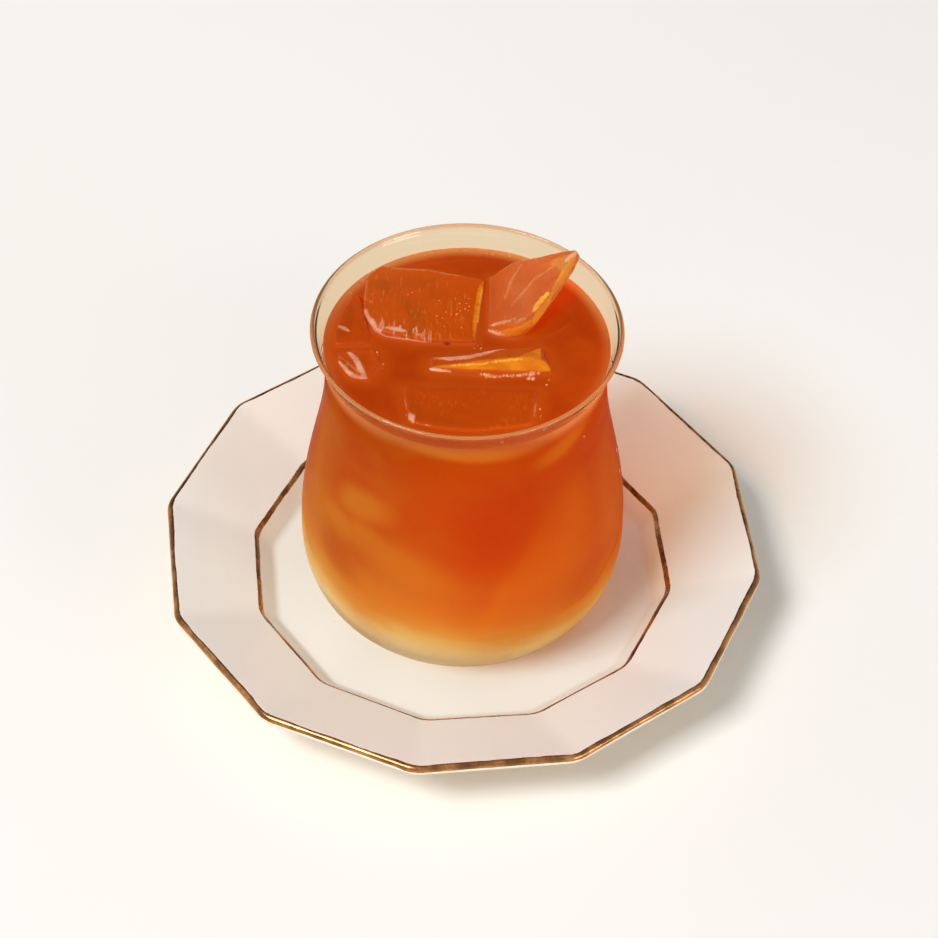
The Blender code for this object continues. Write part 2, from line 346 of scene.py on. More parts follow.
def twelve_sided_radius(from_corner, radius):
    """How far out the outline lies at an angle from its nearest corner; radius runs to the sharp corner."""
    half_side = math.pi / SIDES
    apothem = radius * math.cos(half_side)
    arc_centre = (apothem - CORNER_RADIUS) / math.cos(half_side)
    tangent = math.atan2(CORNER_RADIUS * math.sin(half_side),
                         arc_centre + CORNER_RADIUS * math.cos(half_side))
    if abs(from_corner) > tangent:
        return apothem / math.cos(half_side - abs(from_corner))
    across = arc_centre * math.sin(from_corner)
    return arc_centre * math.cos(from_corner) + math.sqrt(CORNER_RADIUS ** 2 - across ** 2)


def on_twelve_sides(radius, angle):
    """Where a point of the round blank goes, in mm, when its rim becomes twelve sides."""
    side = math.tau / SIDES
    share = smoothstep(radius, ROUND_UP_TO, TWELVE_SIDED_FROM)
    corner = round(angle / side) * side
    offset = angle - corner
    gathered = math.copysign((abs(offset) / (side / 2)) ** GATHER * side / 2, offset)
    offset += (gathered - offset) * share
    new_radius = mixed(radius, twelve_sided_radius(offset, radius), share)
    out = min(max((radius - RIDGE_RADIUS) / (RIM_RADIUS - RIDGE_RADIUS), 0.0), 1.0)
    turned = corner + offset + mixed(RIDGE_PHASE, RIM_PHASE, out)
    return new_radius * math.cos(turned), new_radius * math.sin(turned)


def push_to_twelve_sides(bm):
    for vertex in bm.verts:
        x, y, z = vertex.co
        new_x, new_y = on_twelve_sides(math.hypot(x, y) / MM, math.atan2(y, x))
        vertex.co = (new_x * MM, new_y * MM, z)


def saucer_upper_side():
    """Well, step, sloping rim and rounded edge, from the middle outwards."""
    well = (WELL_RADIUS, WELL_HEIGHT)
    ridge = (RIDGE_RADIUS, RIDGE_HEIGHT)
    edge_top = (RIM_RADIUS - 0.5, RIM_HEIGHT)
    edge_low = (RIM_RADIUS + 0.3, RIM_HEIGHT - RIM_THICKNESS)
    under_ridge = (RIDGE_RADIUS + 2.9, RIDGE_HEIGHT - 1.7)
    section = [(0.0, WELL_HEIGHT), (ROUND_UP_TO, WELL_HEIGHT)]
    section += fillet(section[-1], well, ridge, 3.0, 8)
    section += fillet(well, ridge, edge_top, 1.8, 8)
    section += fillet(ridge, edge_top, edge_low, 1.1, 8)
    section += fillet(edge_top, edge_low, under_ridge, 0.9, 6)
    return section


def saucer_under_side():
    """From under the edge back to the middle."""
    edge_low = (RIM_RADIUS + 0.3, RIM_HEIGHT - RIM_THICKNESS)
    under_ridge = (RIDGE_RADIUS + 2.9, RIDGE_HEIGHT - 1.7)
    under_step = (WELL_RADIUS + 1.5, FOOT_HEIGHT + 0.2)
    foot_side = (FOOT_OUTER + 0.6, FOOT_HEIGHT + 0.2)
    foot_edge = (FOOT_OUTER, 0.0)
    foot_inner_edge = (FOOT_INNER, 0.0)
    foot_inner_side = (FOOT_INNER - 0.6, FOOT_HEIGHT)
    section = fillet(edge_low, under_ridge, under_step, 4.0, 6)
    section += fillet(under_ridge, under_step, foot_side, 3.0, 6)
    section += [foot_side]
    section += fillet(foot_side, foot_edge, foot_inner_edge, 0.6, 4)
    section += fillet(foot_edge, foot_inner_edge, foot_inner_side, 0.6, 4)
    section += [foot_inner_side, (0.0, FOOT_HEIGHT)]
    return section


def glazed_porcelain():
    finish = Finish("glazed_porcelain")
    clouds = finish.noise(38, detail=3)
    colour = finish.blend(finish.range(clouds, 0.35, 0.65), PORCELAIN, tuple(c * 0.975 for c in PORCELAIN))
    specks = finish.range(finish.noise(1.1, detail=1), 0.78, 0.84)
    colour = finish.blend(finish.math("MULTIPLY", specks, 0.25), colour, (0.55, 0.43, 0.33))
    finish.feed("Base Color", colour)
    finish.feed("Roughness", finish.range(finish.noise(9), 0.3, 0.7, 0.13, 0.20))
    finish.values(Specular_IOR_Level=0.5)
    finish.bump(finish.noise(14, detail=2), 0.10, 0.35)
    return finish.material


def make_saucer():
    bm = bmesh.new()
    turn(bm, divided(saucer_upper_side() + saucer_under_side(), 3.0), SAUCER_STEPS)
    push_to_twelve_sides(bm)
    saucer = add_piece("saucer_body", bm, glazed_porcelain(), smooth_angle=50)
    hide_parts("saucer")
    return saucer


class SectionLine:
    """The saucer's upper side as a line to measure along, in mm."""

    def __init__(self, points):
        self.points = [Vector(point) for point in points]
        self.lengths = [0.0]
        for before, after in zip(self.points, self.points[1:]):
            self.lengths.append(self.lengths[-1] + (after - before).length)

    def at(self, length):
        """The point there, and the direction outwards from the porcelain."""
        for index in range(len(self.points) - 1):
            if length <= self.lengths[index + 1] or index == len(self.points) - 2:
                before, after = self.points[index], self.points[index + 1]
                share = (length - self.lengths[index]) / (self.lengths[index + 1] - self.lengths[index])
                along = (after - before).normalized()
                return before.lerp(after, share), Vector((-along.y, along.x))

    def length_to(self, radius, height):
        """How far along the nearest point lies."""
        target = Vector((radius, height))
        best = min(range(len(self.points)), key=lambda i: (self.points[i] - target).length)
        return self.lengths[best]


def gold_line(name, line, start, end, wander, finish):
    """A painted line between two lengths along the section, with an edge that wanders as a brush does."""
    across_steps = 7
    above, below = 0.035, -0.10
    bm = bmesh.new()
    layer_share = bm.verts.layers.float.new("share")
    layer_depth = bm.verts.layers.float.new("depth")
    verts = []
    sides = [(step / across_steps, above) for step in range(across_steps + 1)]
    sides += [(1 - step / across_steps, below) for step in range(across_steps + 1)]
    for share, depth in sides:
        if share in (0.0, 1.0) and depth == above:
            depth = -0.01
        point, outwards = line.at(mixed(start, end, share))
        point = point + outwards * depth
        vertex = bm.verts.new((point.x * MM, 0.0, point.y * MM))
        vertex[layer_share] = share
        vertex[layer_depth] = depth
        verts.append(vertex)
    edges = [bm.edges.new(pair) for pair in zip(verts, verts[1:] + verts[:1])]
    turn_edges(bm, verts + edges, SAUCER_STEPS * 2)
    for vertex in bm.verts:
        angle = math.atan2(vertex.co.y, vertex.co.x)
        around = Vector((math.cos(angle), math.sin(angle), 0.0))
        inner = noise.noise(around * 9 + Vector((0, 0, 1.7))) * wander[0]
        inner += noise.noise(around * 31 + Vector((0, 0, 5.1))) * wander[0] * 0.5
        outer = noise.noise(around * 8 + Vector((0, 0, 9.3))) * wander[1]
        outer += noise.noise(around * 27 + Vector((0, 0, 13.9))) * wander[1] * 0.5
        point, outwards = line.at(mixed(start + inner, end + outer, vertex[layer_share]))
        point = point + outwards * vertex[layer_depth]
        x, y = on_twelve_sides(point.x, angle)
        vertex.co = (x * MM, y * MM, point.y * MM)
    piece = add_piece(name, bm, finish, smooth_angle=60)
    return piece


def copper_gold(name, brown):
    """Fired gold, copper where it is thin and dark brown where it is thick."""
    finish = Finish(name)
    dark, light = (0.16, 0.062, 0.022), (0.66, 0.33, 0.13)
    share = finish.range(finish.noise(5.5, detail=3), 0.36, 0.66)
    colour = finish.blend(share, mixed_colour(light, dark, brown), light)
    finish.feed("Base Color", colour)
    finish.values(Metallic=1.0)
    finish.feed("Roughness", finish.range(finish.noise(1.6, detail=2), 0.3, 0.7, 0.20, 0.36))
    finish.bump(finish.noise(0.9, detail=2), 0.03, 0.5)
    return finish.material


def mixed_colour(a, b, share):
    return tuple(mixed(x, y, share) for x, y in zip(a, b))


def make_gold_lines():
    line = SectionLine(saucer_upper_side())
    ridge = line.length_to(RIDGE_RADIUS, RIDGE_HEIGHT)
    gold_line("ridge_line", line, ridge - 1.15, ridge + 0.55, (0.28, 0.20), copper_gold("ridge_gold", 0.85))
    edge = line.length_to(RIM_RADIUS - 0.3, RIM_HEIGHT - 0.2)
    gold_line("rim_line", line, edge - 1.15, edge + 1.15, (0.32, 0.22), copper_gold("rim_gold", 0.7))


# ---- Glass ----

def bowl_curve(base_radius, floor, belly_radius, segments):
    """From the flat of a floor out and up to the belly, (radius, height)."""
    points = []
    for step in range(segments + 1):
        turned = math.pi / 2 * step / segments
        out = math.sin(turned) ** 1.13
        up = 1 - max(math.cos(turned), 0.0) ** 0.9
        points.append((base_radius + (belly_radius - base_radius) * out, floor + (BELLY_HEIGHT - floor) * up))
    return points


def upper_wall(segments_body, segments_flare):
    """The outside from the belly to the lip, after the belly itself, (radius, height)."""
    rise = NECK_HEIGHT - BELLY_HEIGHT
    flare = LIP_HEIGHT - NECK_HEIGHT
    spread = LIP_RADIUS - NECK_RADIUS
    body = bezier((BELLY_RADIUS, BELLY_HEIGHT), (BELLY_RADIUS, BELLY_HEIGHT + 0.43 * rise),
                  (NECK_RADIUS, NECK_HEIGHT - 0.34 * rise), (NECK_RADIUS, NECK_HEIGHT), segments_body)
    lip = bezier((NECK_RADIUS, NECK_HEIGHT), (NECK_RADIUS, NECK_HEIGHT + 0.47 * flare),
                 (LIP_RADIUS - 0.45 * spread, LIP_HEIGHT - 0.3 * flare), (LIP_RADIUS, LIP_HEIGHT), segments_flare)
    return body + lip


def wall_thickness(height):
    share = (height - BELLY_HEIGHT) / (LIP_HEIGHT - BELLY_HEIGHT)
    return BELLY_WALL + (LIP_WALL - BELLY_WALL) * share


def inside_curve(gap, segments_floor, segments_body, segments_flare):
    """The inside from the floor's flat up to the lip, moved inwards by a gap, (radius, height)."""
    points = bowl_curve(BASE_RADIUS - BELLY_WALL, GLASS_BASE + FLOOR_THICKNESS + gap,
                        BELLY_RADIUS - BELLY_WALL - gap, segments_floor)
    for radius, height in upper_wall(segments_body, segments_flare):
        points.append((radius - wall_thickness(height) - gap, height))
    return points


def misted_glass():
    """Clear glass with a faint warm tint, a painted tan reflection of the tea in the rim at the lip, and a cold
    drink's fine mist on it.
    """
    finish = Finish("misted_glass")
    x, y, z = finish.split()
    # Painted reflection: the tea's colour, refracted and mirrored in the rounded rim, is painted as a tan band at the
    # lip, which is less clear there
    lip_painted_reflection = finish.range(z, (LIP_HEIGHT - 1.1) * MM, (LIP_HEIGHT - 0.4) * MM)
    colour = finish.blend(finish.noise(30), (0.97, 0.965, 0.95), (0.985, 0.98, 0.965))
    finish.feed("Base Color", finish.blend(lip_painted_reflection, colour, (0.66, 0.36, 0.15)))
    finish.feed("Transmission Weight", finish.range(lip_painted_reflection, 0.0, 1.0, 1.0, 0.45))
    finish.values(IOR=1.5, Roughness=0.0)
    below_flare = finish.range(z, 74 * MM, 80 * MM, 0.86, 0.96)
    share = finish.math("MULTIPLY", below_flare, finish.range(z, 91.5 * MM, 94 * MM, 1.0, 0.4))
    finish.thin_out_reflections(share, 1.5)
    finish.light_passes((0.97, 0.95, 0.92))
    return finish.material


def make_glass():
    inside = inside_curve(0.0, 24, 26, 16)
    outside = bowl_curve(BASE_RADIUS, GLASS_BASE, BELLY_RADIUS, 24) + upper_wall(26, 16)
    lip_centre = (LIP_RADIUS - LIP_WALL / 2, LIP_HEIGHT - LIP_WALL / 2)
    lip = []
    for step in range(13):
        angle = math.pi * (1 - step / 12)
        lip.append((lip_centre[0] + LIP_WALL / 2 * math.cos(angle),
                    lip_centre[1] + LIP_WALL / 2 * math.sin(angle)))
    section = [(0.0, inside[0][1])] + inside[:-1] + lip + outside[-2::-1] + [(0.0, GLASS_BASE)]
    bm = bmesh.new()
    turn(bm, section, GLASS_STEPS)
    glass = add_piece("glass_wall", bm, misted_glass(), smooth_angle=50)
    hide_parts("glass")
    return glass


# ---- Drink ----

def radius_inside(height):
    """How far out the drink reaches at a height: just into the wall, so that no air shows between."""
    curve = DRINK_CURVE
    for (r1, h1), (r2, h2) in zip(curve, curve[1:]):
        if h1 <= height <= h2:
            return r1 + (r2 - r1) * (height - h1) / (h2 - h1)
    return curve[0][0]


DRINK_CURVE = inside_curve(-INTO_THE_WALL, 40, 48, 30)

# Ice seen through the side: place on the drink's surface, size, turn and strength of each glow, in mm and degrees
GLOWS = {
    "band_under_the_surface": ((2.7, -35.6, 84.6), (17.0, 6.0, 2.4), (0, 5, 0), 0.80),
    "band_right": ((25.0, -25.0, 79.0), (8.0, 6.0, 2.8), (0, -20, 42), 0.65),
    "patch_left": ((-25.3, -27.4, 58.6), (9.0, 6.0, 4.2), (0, -12, -42), 0.62),
    "slope_left_high": ((-31.4, -23.0, 49.5), (8.5, 6.0, 3.6), (0, 10, -52), 0.55),
    "slope_left_middle": ((-23.5, -31.0, 49.5), (9.0, 6.0, 4.0), (0, 10, -38), 0.45),
    "slope_left_low": ((-14.5, -37.0, 45.5), (12.0, 7.0, 6.0), (0, 16, -22), 0.48),
    "haze_left_low": ((-20.0, -34.5, 33.0), (17.0, 9.0, 6.0), (0, 6, -30), 0.45),
    "streak_right": ((10.5, -39.5, 39.5), (1.8, 5.0, 11.0), (0, 18, 14), 0.30),
    "face_right": ((24.0, -31.5, 52.0), (13.0, 8.0, 17.0), (0, 16, 36), 0.32),
    "foot_left": ((-28.0, -30.0, 30.0), (14.0, 9.0, 6.0), (0, 8, -42), 0.35),
    "edge_left": ((-35.5, -15.0, 58.0), (6.0, 8.0, 22.0), (0, 0, 0), 0.42),
    "edge_right": ((38.0, -12.0, 52.0), (6.0, 9.0, 14.0), (0, 0, 0), 0.40),
}
# Deeper places between the ice
DEPTHS = {
    "middle": ((12.0, -36.5, 62.0), (14.0, 9.0, 13.0), (0, 0, 18), 0.75),
    "left_shoulder": ((-32.0, -16.0, 62.0), (6.0, 9.0, 9.0), (0, 0, -58), 0.40),
    "left_low": ((-31.5, -26.0, 38.0), (7.0, 8.0, 4.0), (0, 18, -50), 0.40),
    "right_low": ((33.0, -25.0, 33.0), (9.0, 8.0, 5.0), (0, -16, 52), 0.35),
}


def soft_spots(finish, spots):
    """How strongly any of the soft spots covers a place, from 0 to 1."""
    total = None
    for place, size, turned, strength in spots.values():
        node = finish.nodes.new("ShaderNodeTexGradient")
        node.gradient_type = "SPHERICAL"
        vector = finish.mapped(tuple(s * MM * 1.7 for s in size), tuple(math.radians(a) for a in turned),
                               tuple(p * MM for p in place))
        finish.join(vector, node.inputs["Vector"])
        share = finish.math("MULTIPLY", finish.range(node.outputs["Fac"], 0.0, 0.75), strength)
        total = share if total is None else finish.math("MAXIMUM", total, share)
    return total


def tea_colour(finish):
    """The drink's colour: pale straw at the bottom through gold to a deep amber, with the sunk ice's glow, a painted
    sheen on the lit left side and a painted reflection in a band just under the surface.
    """
    x, y, z = finish.split()
    wander = finish.math("MULTIPLY", finish.math("SUBTRACT", finish.noise(34, detail=3, stretch=(1, 1, 1.6)), 0.5),
                         11 * MM)
    lean = finish.math("MULTIPLY", x, 0.11)
    height = finish.math("ADD", finish.math("ADD", z, wander), lean)
    share = finish.math("DIVIDE", finish.math("SUBTRACT", height, 8 * MM), 84 * MM)
    stops = [
        (0.00, (0.92, 0.79, 0.47)), (0.09, (0.84, 0.65, 0.30)), (0.15, (0.74, 0.49, 0.15)),
        (0.21, (0.66, 0.31, 0.050)), (0.28, (0.62, 0.175, 0.013)), (0.38, (0.57, 0.105, 0.005)),
        (0.52, (0.53, 0.066, 0.002)), (0.80, (0.53, 0.062, 0.001)), (1.00, (0.56, 0.080, 0.002)),
    ]
    colour = finish.ramp(share, stops)
    clouds = finish.range(finish.noise(16, detail=3, stretch=(1, 1, 0.6), distortion=0.6), 0.42, 0.66)
    colour = finish.blend(finish.math("MULTIPLY", clouds, 0.20), colour, (0.62, 0.16, 0.008))
    colour = finish.blend(soft_spots(finish, GLOWS), colour, (0.66, 0.195, 0.010))
    colour = finish.blend(soft_spots(finish, DEPTHS), colour, (0.47, 0.040, 0.0005))
    across = finish.math("SUBTRACT", finish.math("MULTIPLY", finish.math("SUBTRACT", x, 5 * MM), 0.894),
                         finish.math("MULTIPLY", finish.math("SUBTRACT", z, 30 * MM), 0.447))
    facet = finish.math("MULTIPLY", finish.range(across, -0.8 * MM, 1.4 * MM), finish.range(z, 26 * MM, 34 * MM))
    facet = finish.math("MULTIPLY", facet, finish.range(z, 52 * MM, 70 * MM, 1.0, 0.0))
    facet = finish.math("MULTIPLY", facet, finish.range(y, -22 * MM, -8 * MM, 0.26, 0.0))
    colour = finish.blend(facet, colour, (0.64, 0.16, 0.006))
    # Painted sheen: the drink is less red and bluer on the lit left side, most from mid height up, in place of the
    # light plate and table mirrored in the glass
    left_painted_sheen = finish.blend(finish.range(z, 20 * MM, 46 * MM), (1.02, 1.04, 1.15), (0.79, 1.08, 1.8))
    colour = finish.tinted(colour, finish.blend(finish.range(x, -38 * MM, 30 * MM), left_painted_sheen, (1.02, 1.0, 1.0)))
    # Painted reflection: a light band just under the surface, strongest towards the sides, in place of the pale
    # surroundings mirrored in the glass's flare
    from_middle = finish.range(finish.math("ABSOLUTE", x), 10 * MM, 32 * MM, 0.22, 0.75)
    haze = finish.math("MULTIPLY", finish.range(z, 81.5 * MM, 87.5 * MM), from_middle)
    return finish.blend(haze, colour, (0.78, 0.34, 0.12))


SHADOW_TINT = (0.72, 0.52, 0.06)
LAYER_SHADOW_TINT = (0.70, 0.38, 0.05)


def amber_tea(name, shadow_tint):
    """The drink against the glass, which has no gloss of its own there."""
    finish = Finish(name)
    colour = tea_colour(finish)
    finish.feed("Base Color", colour)
    finish.feed("Emission Color", colour)
    finish.values(Emission_Strength=0.0, Roughness=0.5, Specular_IOR_Level=0.0, Subsurface_Weight=1.0,
                  Subsurface_Radius=(1.0, 0.5, 0.25))
    x, y, z = finish.split()
    from_seam = finish.math("ABSOLUTE", finish.math("SUBTRACT", z, LAYER_LEVEL * MM))
    from_top = finish.math("ABSOLUTE", finish.math("SUBTRACT", z, (TEA_LEVEL + MENISCUS_RISE) * MM))
    from_edge = finish.math("MINIMUM", from_seam, from_top)
    finish.feed("Subsurface Scale", finish.math("MINIMUM", 0.02, finish.math("MAXIMUM", 0.0002, from_edge)))
    finish.light_passes(shadow_tint)
    return finish.material


def tea_surface():
    """The top of the tea: deep and glossy, with a painted golden glow where it thins out against the glass, stronger
    at the back.
    """
    finish = Finish("tea_surface")
    clouds = finish.range(finish.noise(13, detail=2), 0.38, 0.68)
    colour = finish.blend(clouds, (0.40, 0.036, 0.0006), (0.46, 0.050, 0.001))
    colour = finish.blend(finish.math("MULTIPLY", finish.painted("near_ice"), 0.8), colour, (0.50, 0.064, 0.002))
    colour = finish.blend(finish.painted("fleck"), colour, (0.22, 0.004, 0.002))
    x, y, z = finish.split()
    radius = finish.math("SQRT", finish.math("ADD", finish.math("MULTIPLY", x, x), finish.math("MULTIPLY", y, y)))
    # Painted light: the thin edge against the glass is painted golden, as light showing through it, more at the back
    # than at the front
    painted_edge_glow = finish.range(radius, (radius_inside(TEA_LEVEL) - 3.2) * MM, radius_inside(TEA_LEVEL) * MM)
    painted_edge_glow = finish.math("MULTIPLY", painted_edge_glow, finish.range(y, -5 * MM, 28 * MM, 0.22, 0.85))
    colour = finish.blend(painted_edge_glow, colour, (0.60, 0.23, 0.06))
    finish.feed("Base Color", colour)
    finish.values(Roughness=0.03, Specular_IOR_Level=0.4)
    finish.bump(finish.noise(7, detail=1), 0.08, 0.5)
    finish.light_passes(SHADOW_TINT)
    return finish.material


def ice_outlines():
    """Where each lump of ice meets the surface of the tea, as a closed line in mm, after its middle and reach."""
    outlines = {}
    for name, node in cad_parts.items():
        if not name.startswith("ice_"):
            continue
        bm = bmesh.new()
        bm.from_mesh(node.data)
        bmesh.ops.remove_doubles(bm, verts=bm.verts, dist=0.00001)
        cut = bmesh.ops.bisect_plane(bm, geom=bm.verts[:] + bm.edges[:] + bm.faces[:],
                                     plane_co=(0, 0, TEA_LEVEL * MM), plane_no=(0, 0, 1))
        points = [v.co.xy / MM for v in cut["geom_cut"] if isinstance(v, bmesh.types.BMVert)]
        bm.free()
        if len(points) < 3:
            continue
        centre = sum(points, Vector((0, 0))) / len(points)
        points.sort(key=lambda p: math.atan2(p.y - centre.y, p.x - centre.x))
        reach = max((point - centre).length for point in points)
        outlines[name] = [(centre, reach)] + points
    return outlines


def distance_to(outline, point):
    """How far a point lies outside a closed line, in mm; less than 0 inside it."""
    nearest = 1000.0
    inside = False
    for a, b in zip(outline, outline[1:] + outline[:1]):
        along = b - a
        if along.length_squared < 1e-9:
            continue
        share = min(max((point - a).dot(along) / along.length_squared, 0.0), 1.0)
        nearest = min(nearest, (point - (a + along * share)).length)
        if (a.y > point.y) != (b.y > point.y):
            if point.x < a.x + (point.y - a.y) / (b.y - a.y) * along.x:
                inside = not inside
    return -nearest if inside else nearest


def surface_height(point, outlines, wall):
    """The tea's surface in mm: it creeps up the glass and the ice, and drops into a pocket under each lump."""
    radius = point.length
    height = TEA_LEVEL + MENISCUS_RISE * math.exp(-max(wall - radius, 0.0) / MENISCUS_REACH)
    near_ice = 0.0
    for name, outline in outlines.items():
        middle, reach = outline[0]
        if (point - middle).length > reach + NEAR_ICE:
            continue
        away = distance_to(outline[1:], point)
        climb, depth = ICE_SEAT[name]
        near_ice = max(near_ice, 1 - smoothstep(away, 0.0, NEAR_ICE))
        if away >= 0:
            height = max(height, TEA_LEVEL + climb * math.exp(-away / 0.7))
        else:
            height = TEA_LEVEL + climb - depth * smoothstep(-away, 0.25, 2.4)
    return height, near_ice


# How far the tea climbs each lump of ice, and the depth of the pocket under it, in mm
ICE_SEAT = {
    "ice_block_back": (0.40, 7.0), "ice_block_front": (0.05, 6.0), "ice_wedge_middle": (0.30, 4.0),
    "ice_shard": (0.40, 2.5), "ice_chip_left": (0.30, 4.0), "ice_block_left": (0.30, 4.0),
}
NEAR_ICE = 5.0  # the tea is paler this close to the ice, which is wider under the surface
FLECK_PLACE = Vector((-4.9, 0.3))


def make_drink():
    wall = radius_inside(TEA_LEVEL)
    seam = radius_inside(LAYER_LEVEL)
    side = [(r, h) for r, h in DRINK_CURVE if LAYER_LEVEL + 0.4 < h < TEA_LEVEL - 0.8]
    top_steps = 84
    top = [(wall * (1 - step / top_steps), TEA_LEVEL) for step in range(top_steps + 1)]
    bm = bmesh.new()
    turn(bm, [(0.0, LAYER_LEVEL), (seam, LAYER_LEVEL)] + side + top, 320)
    outlines = ice_outlines()
    layer_near_ice = bm.verts.layers.float.new("near_ice")
    layer_fleck = bm.verts.layers.float.new("fleck")
    for vertex in bm.verts:
        if vertex.co.z > (TEA_LEVEL - 0.01) * MM:
            point = vertex.co.xy / MM
            height, vertex[layer_near_ice] = surface_height(point, outlines, wall)
            from_fleck = point - FLECK_PLACE
            vertex[layer_fleck] = 1 - smoothstep(math.hypot(from_fleck.x, from_fleck.y * 1.8), 0.3, 1.3)
            vertex.co.z = height * MM
            if point.length > wall - 0.001:
                reach = radius_inside(vertex.co.z / MM)
                vertex.co.xy = point.normalized() * reach * MM
    finish = amber_tea("amber_tea", SHADOW_TINT)
    tea = add_piece("tea_drink", bm, finish, smooth_angle=60)
    tea.data.materials.append(tea_surface())
    for face in tea.data.polygons:
        height = face.center.z / MM
        if height > TEA_LEVEL - 8.5 and face.center.xy.length / MM < radius_inside(height) - 0.1:
            face.material_index = 1
    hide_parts("tea")

    low = [(r, h) for r, h in DRINK_CURVE if h < LAYER_LEVEL - 0.4]
    bm = bmesh.new()
    turn(bm, [(0.0, low[0][1])] + low + [(seam, LAYER_LEVEL), (0.0, LAYER_LEVEL)], 320)
    pale = add_piece("pale_drink", bm, amber_tea("pale_layer", LAYER_SHADOW_TINT), smooth_angle=60)
    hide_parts("pale_layer")


# ---- Ice ----

# Painted highlights on the ice, pale glints, faint light lines, and golden and straw-coloured light let through its
# edges: what each looks like, its width, and the line it follows, in mm
PAINTED_ICE_HIGHLIGHTS = {
    "ice_block_back": [
        ("pale", 1.4, [(-25.4, 10.5, 89.4), (-24.8, 8.0, 89.1), (-22.9, 4.9, 89.0), (-21.3, 3.0, 88.6)]),
        ("pale", 1.1, [(-24.6, 5.6, 87.9), (-22.1, 3.2, 87.9), (-16.6, 1.6, 87.9), (-9.9, 0.4, 87.9)]),
        ("comb", 4.4, [(-20.6, 4.6, 89.3), (-15.4, 3.5, 89.2)]),
        ("comb", 3.8, [(-13.7, 3.4, 89.0), (-9.7, 1.7, 88.6)]),
        ("pale", 1.5, [(-20.2, 4.0, 89.3), (-15.4, 2.9, 89.1)]),
        ("pale", 1.1, [(-13.4, 2.6, 88.9), (-9.9, 1.2, 88.4)]),
        ("faint", 1.0, [(-22.7, 25.0, 90.0), (-10.1, 25.0, 89.5), (3.0, 22.8, 88.7)]),
        ("faint", 0.7, [(-23.6, 24.5, 89.9), (-25.6, 19.4, 89.6), (-25.7, 11.5, 89.4)]),
        ("gold", 2.6, [(3.5, 22.3, 88.4), (2.8, 12.0, 88.2), (1.9, 1.8, 88.0)]),
        ("straw", 1.0, [(3.6, 20.5, 88.6), (3.1, 13.0, 88.4), (2.6, 8.0, 88.3)]),
    ],
    "ice_shard": [
        ("faint", 0.7, [(5.1, 24.4, 87.8), (8.8, 25.9, 90.0), (12.8, 26.5, 92.2), (19.0, 24.7, 95.7),
                        (25.5, 23.0, 99.3)]),
        ("faint", 0.8, [(9.2, 14.3, 90.3), (10.8, 20.7, 91.3), (13.2, 24.9, 92.6)]),
        ("faint", 0.6, [(10.9, 11.3, 91.4), (16.5, 17.6, 94.3), (22.6, 20.5, 97.9)]),
        ("faint", 0.5, [(12.9, 12.2, 92.4), (15.3, 16.4, 93.7), (17.7, 19.7, 95.1)]),
        ("gold", 1.8, [(26.0, 20.8, 99.1), (23.1, 15.7, 97.0), (20.2, 11.4, 94.7)]),
        ("gold", 2.1, [(20.2, 11.2, 94.3), (17.4, 7.5, 91.5), (14.0, 5.4, 88.6)]),
        ("straw", 1.2, [(16.1, 7.3, 93.3), (17.8, 9.3, 94.5), (19.7, 11.5, 95.6)]),
        ("pale", 1.1, [(5.9, 6.6, 88.5), (8.0, 6.3, 89.5), (14.2, 5.5, 92.3)]),
        ("pale", 1.2, [(5.3, 5.5, 88.0), (7.4, 4.3, 88.0), (10.8, 3.6, 88.0)]),
        ("gold", 2.5, [(8.6, 4.3, 88.4), (12.2, 4.5, 89.3), (15.4, 5.8, 91.2)]),
        ("straw", 1.0, [(9.6, 4.5, 88.6), (12.2, 4.6, 89.2), (14.0, 5.3, 90.2)]),
        ("pale", 1.2, [(24.0, 19.6, 98.8), (26.5, 22.5, 99.6)]),
    ],
    "ice_wedge_middle": [
        ("gold_face", 0.5, [(-8.4, -8.6, 88.0), (0.9, -7.8, 89.4), (13.1, -6.0, 90.2), (18.0, -2.2, 89.5),
                            (18.3, -6.1, 89.5), (20.5, -7.3, 87.8), (20.9, -8.5, 87.2), (13.2, -9.2, 88.5),
                            (0.9, -9.2, 88.4)]),
        ("straw", 0.5, [(-4.0, -8.3, 88.7), (3.3, -8.1, 89.4), (13.1, -6.6, 90.1), (20.0, -7.5, 88.5)]),
        ("pale", 1.2, [(-7.5, -5.9, 88.6), (-4.0, -6.2, 89.1), (0.9, -5.9, 89.6), (4.3, -4.8, 89.7),
                       (9.4, -2.8, 89.4)]),
        ("pale", 1.3, [(-9.1, -8.9, 87.8), (-6.9, -9.6, 87.9), (-3.9, -9.8, 87.9)]),
        ("pale", 1.5, [(15.9, -9.3, 88.0), (16.7, -9.4, 87.2)]),
    ],
    "ice_chip_left": [
        ("pale", 1.4, [(-28.9, -5.3, 89.2), (-27.0, -7.4, 89.0), (-25.7, -10.6, 88.6), (-24.6, -12.6, 88.2)]),
        ("pale", 1.1, [(-31.2, -7.4, 88.3), (-28.8, -11.2, 88.4), (-26.3, -12.8, 88.0), (-24.3, -12.8, 87.9)]),
        ("faint", 0.7, [(-31.0, -6.4, 88.8), (-27.9, -9.8, 88.8), (-25.3, -12.6, 88.2)]),
        ("faint", 0.6, [(-31.8, -4.9, 88.0), (-28.6, -4.1, 88.8), (-23.2, -3.5, 88.4)]),
    ],
    "ice_block_left": [
        ("pale", 1.0, [(-32.0, 4.7, 88.5), (-31.0, 4.1, 88.8), (-29.2, 3.1, 88.7)]),
    ],
    "ice_block_front": [
        ("pale", 1.4, [(-13.2, -24.9, 88.2), (-12.4, -27.2, 88.1)]),
        ("faint", 0.8, [(17.4, -19.9, 88.0), (17.0, -24.2, 88.0)]),
        ("faint", 0.5, [(-14.9, -19.7, 87.9), (-14.2, -23.0, 87.9)]),
    ],
}


